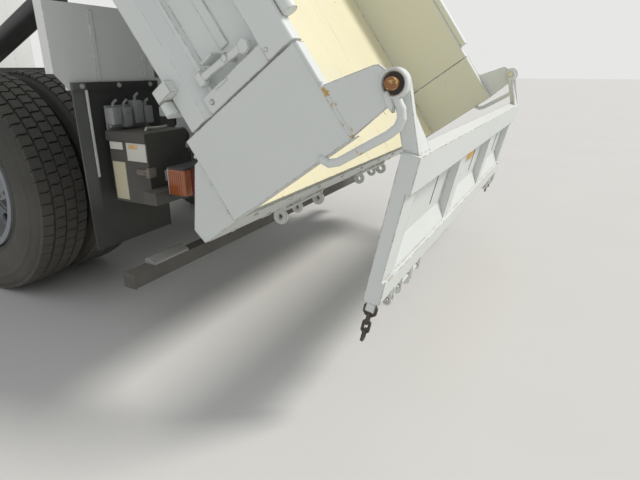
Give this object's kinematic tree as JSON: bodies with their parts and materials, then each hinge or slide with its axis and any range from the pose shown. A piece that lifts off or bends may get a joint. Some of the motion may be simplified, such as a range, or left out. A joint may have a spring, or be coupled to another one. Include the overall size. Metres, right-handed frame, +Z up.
{
  "type": "rear-tipping dump truck",
  "caption": "Cab-over dump truck with its bed tipped to the rear, free-hanging tailgate, drop sides, tilting cab, opening doors, steered front wheels and twin rear wheels",
  "frame": {"origin": "middle of the bottom of the whole truck's box, on the ground", "axes": "+X forward along the truck, +Y to its left, +Z up"},
  "size_m": [6.8458, 2.61, 4.2312],
  "materials": {
    "truck_white": "glossy white paint, lightly dusted",
    "bed_paint": "off-white paint with scratches and rust",
    "chassis_black": "black chassis paint with road dust",
    "guard_grey": "grey painted steel",
    "rubber": "matt black rubber",
    "tyre": "worn tyre rubber",
    "wheel_silver": "silver-grey painted steel, dirty",
    "glass": "clear tinted glass",
    "lamp": "lamp lens",
    "cab_trim": "grained dark plastic",
    "seat_cloth": "woven seat cloth",
    "hoist_paint": "black paint",
    "hoist_chrome": "hard chrome"
  },
  "bodies": {
    "chassis": {"frame_rails": "chassis_black", "frame_crossings": "chassis_black", "subframe": "chassis_black", "tail_hinge": "chassis_black", "hoist_base": "chassis_black", "tow_jaw": "chassis_black", "rear_axle": "chassis_black", "front_axle": "chassis_black", "leaf_springs": "chassis_black", "prop_shaft": "chassis_black", "engine_block": "chassis_black", "fuel_tank": "guard_grey", "air_tanks": "chassis_black", "exhaust": "chassis_black", "front_bumper": "truck_white", "lamps": "lamp", "side_guards": "guard_grey", "splash_panels": "truck_white", "mud_flaps": "rubber", "tool_box": "chassis_black", "rear_beam": "chassis_black", "underrun_bar": "chassis_black"},
    "cab": {"cab_floor": "truck_white", "cab_front": "truck_white", "cab_side_left": "truck_white", "cab_side_right": "truck_white", "cab_roof": "truck_white", "cab_back": "truck_white", "cab_glass": "glass", "cab_seats": "seat_cloth", "dashboard": "cab_trim", "cab_mirrors": "cab_trim"},
    "door_left": {"door_left": "truck_white", "door_glass_left": "glass"},
    "door_right": {"door_right": "truck_white", "door_glass_right": "glass"},
    "knuckle_left": {"knuckle_left": "chassis_black"},
    "knuckle_right": {"knuckle_right": "chassis_black"},
    "tie_rod": {"tie_rod": "chassis_black"},
    "wheel_front_left": {"front_tyre_left": "tyre", "front_wheel_left": "wheel_silver"},
    "wheel_front_right": {"front_tyre_right": "tyre", "front_wheel_right": "wheel_silver"},
    "wheel_rear_left": {"rear_tyres_left": "tyre", "rear_wheels_left": "wheel_silver"},
    "wheel_rear_right": {"rear_tyres_right": "tyre", "rear_wheels_right": "wheel_silver"},
    "hoist_barrel": {"hoist_barrel": "hoist_paint"},
    "hoist_rod": {"hoist_rod": "hoist_chrome"},
    "bed": {"bed_floor": "bed_paint", "bed_sills": "bed_paint", "bed_hoist_ears": "bed_paint", "bed_front": "bed_paint", "bed_corner_left": "bed_paint", "bed_corner_right": "bed_paint", "tail_sill": "bed_paint"},
    "side_gate_left": {"side_gate_left": "bed_paint"},
    "side_gate_right": {"side_gate_right": "bed_paint"},
    "tailgate": {"tailgate": "bed_paint", "gate_chains": "chassis_black"}
  },
  "joints": [
    {"name": "cab_tilt", "type": "hinge", "parent": "chassis", "child": "cab", "pos_m": [3.26291, 0, 0.84], "axis": [0, 1, 0], "range_deg": [0, 45]},
    {"name": "door_left_swing", "type": "hinge", "parent": "cab", "child": "door_left", "pos_m": [3.10191, 1.104, 1.5], "axis": [0, 0, -1], "range_deg": [0, 65]},
    {"name": "door_right_swing", "type": "hinge", "parent": "cab", "child": "door_right", "pos_m": [3.10191, -1.104, 1.5], "axis": [0, 0, 1], "range_deg": [0, 65]},
    {"name": "steer_left", "type": "hinge", "parent": "chassis", "child": "knuckle_left", "pos_m": [2.26291, 0.812, 0.49], "axis": [0, 0, 1], "range_deg": [-33, 33]},
    {"name": "steer_right", "type": "hinge", "parent": "chassis", "child": "knuckle_right", "pos_m": [2.26291, -0.812, 0.49], "axis": [0, 0, 1], "range_deg": [-33, 33]},
    {"name": "tie_rod_end", "type": "hinge", "parent": "knuckle_left", "child": "tie_rod", "pos_m": [2.07291, 0.812, 0.43], "axis": [0, 0, 1], "range_deg": [-33, 33]},
    {"name": "front_left_spin", "type": "hinge", "parent": "knuckle_left", "child": "wheel_front_left", "pos_m": [2.26291, 0.975, 0.53], "axis": [0, 1, 0], "continuous": true},
    {"name": "front_right_spin", "type": "hinge", "parent": "knuckle_right", "child": "wheel_front_right", "pos_m": [2.26291, -0.975, 0.53], "axis": [0, 1, 0], "continuous": true},
    {"name": "rear_left_spin", "type": "hinge", "parent": "chassis", "child": "wheel_rear_left", "pos_m": [-1.23709, 0.972, 0.53], "axis": [0, 1, 0], "continuous": true},
    {"name": "rear_right_spin", "type": "hinge", "parent": "chassis", "child": "wheel_rear_right", "pos_m": [-1.23709, -0.972, 0.53], "axis": [0, 1, 0], "continuous": true},
    {"name": "bed_tip", "type": "hinge", "parent": "chassis", "child": "bed", "pos_m": [-2.03895, 0, 0.7533], "axis": [0, -1, 0], "range_deg": [-54.6, 0]},
    {"name": "hoist_swing", "type": "hinge", "parent": "chassis", "child": "hoist_barrel", "pos_m": [1.01291, 0, 0.86], "axis": [0, 1, 0], "range_deg": [-12.31, 0]},
    {"name": "hoist_stroke", "type": "slide", "parent": "hoist_barrel", "child": "hoist_rod", "axis": [-0.9234, 0, 0.3838], "range_m": [-1.06087, 0]},
    {"name": "tailgate_swing", "type": "hinge", "parent": "bed", "child": "tailgate", "pos_m": [-3.34868, 0, 1.03019], "axis": [0, -1, 0], "range_deg": [-60, 42.7]},
    {"name": "side_gate_left_drop", "type": "hinge", "parent": "bed", "child": "side_gate_left", "pos_m": [-2.84676, 1.138, 0.61093], "axis": [-0.5793, 0, -0.8151], "range_deg": [0, 165]},
    {"name": "side_gate_right_drop", "type": "hinge", "parent": "bed", "child": "side_gate_right", "pos_m": [-2.84676, -1.138, 0.61093], "axis": [0.5793, 0, 0.8151], "range_deg": [0, 165]}
  ],
  "couplings": [
    {"joint": "steer_right", "follows": "steer_left", "ratio": 1},
    {"joint": "tie_rod_end", "follows": "steer_left", "ratio": -1},
    {"joint": "hoist_swing", "follows": "bed_tip", "ratio": 0.22541},
    {"joint": "hoist_stroke", "follows": "bed_tip", "m_per_rad": 1.1133}
  ]
}
